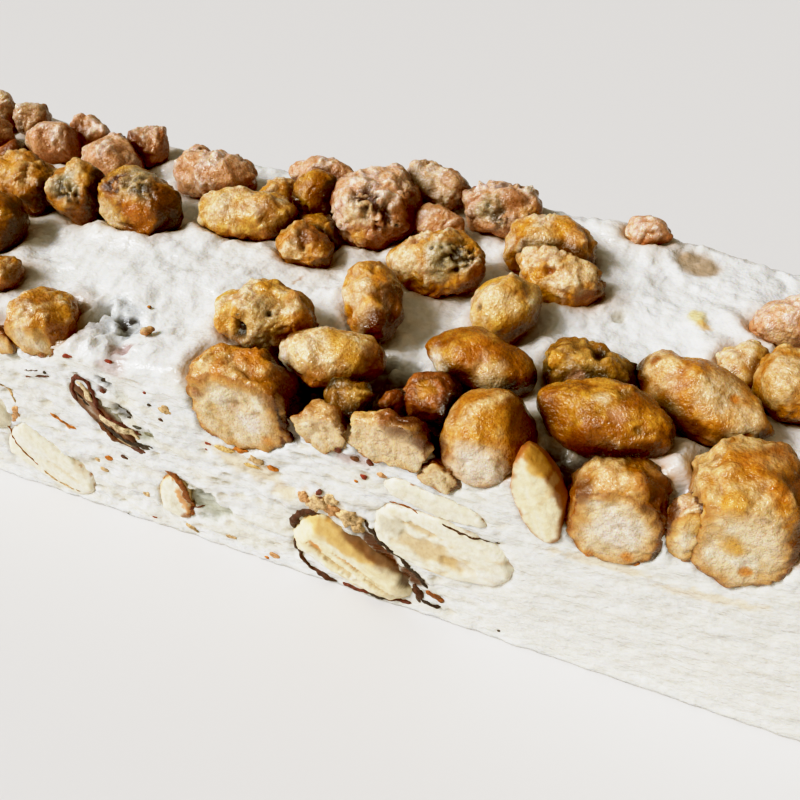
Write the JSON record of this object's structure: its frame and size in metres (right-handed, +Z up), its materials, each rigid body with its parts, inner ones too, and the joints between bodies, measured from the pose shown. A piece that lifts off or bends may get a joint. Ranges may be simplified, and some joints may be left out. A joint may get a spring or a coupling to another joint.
{
  "type": "nougat bar",
  "caption": "Soft white nougat bar topped with uneven rows of candied peanuts and almonds, with cut almonds showing flush in its sides.",
  "frame": {"origin": "middle of the flat underside", "axes": "+X along the bar, -Y out of the cut side that shows the most almonds, +Z up through the nuts"},
  "size_m": [0.16, 0.05, 0.0388],
  "materials": {
    "nougat_white": "soft satin",
    "candied_nut": "lumpy sugar glaze",
    "almond_flesh": "matte cut face"
  },
  "bodies": {
    "root": {"almond_back": "almond_flesh", "almond_chip": "almond_flesh", "almond_curl": "almond_flesh", "almond_far_left": "almond_flesh", "almond_left": "almond_flesh", "almond_left_end": "almond_flesh", "almond_pale": "almond_flesh", "almond_right_end": "almond_flesh", "almond_skinned": "almond_flesh", "almond_sliver": "almond_flesh", "almond_thin_slice": "almond_flesh", "nougat": "nougat_white", "nut_01": "candied_nut", "nut_02": "candied_nut", "nut_03": "candied_nut", "nut_04": "candied_nut", "nut_05": "candied_nut", "nut_06": "candied_nut", "nut_07": "candied_nut", "nut_08": "candied_nut", "nut_09": "candied_nut", "nut_10": "candied_nut", "nut_11": "candied_nut", "nut_12": "candied_nut", "nut_13": "candied_nut", "nut_14": "candied_nut", "nut_15": "candied_nut", "nut_16": "candied_nut", "nut_17": "candied_nut", "nut_18": "candied_nut", "nut_19": "candied_nut", "nut_20": "candied_nut", "nut_21": "candied_nut", "nut_22": "candied_nut", "nut_23": "candied_nut", "nut_24": "candied_nut", "nut_25": "candied_nut", "nut_26": "candied_nut", "nut_27": "candied_nut", "nut_28": "candied_nut", "nut_29": "candied_nut", "nut_30": "candied_nut", "nut_31": "candied_nut", "nut_32": "candied_nut", "nut_33": "candied_nut", "nut_34": "candied_nut", "nut_35": "candied_nut", "nut_36": "candied_nut", "nut_37": "candied_nut", "nut_38": "candied_nut", "nut_39": "candied_nut", "nut_40": "candied_nut", "nut_41": "candied_nut", "nut_42": "candied_nut", "nut_43": "candied_nut", "nut_44": "candied_nut", "nut_45": "candied_nut", "nut_46": "candied_nut", "nut_47": "candied_nut", "nut_48": "candied_nut"}
  },
  "joints": []
}
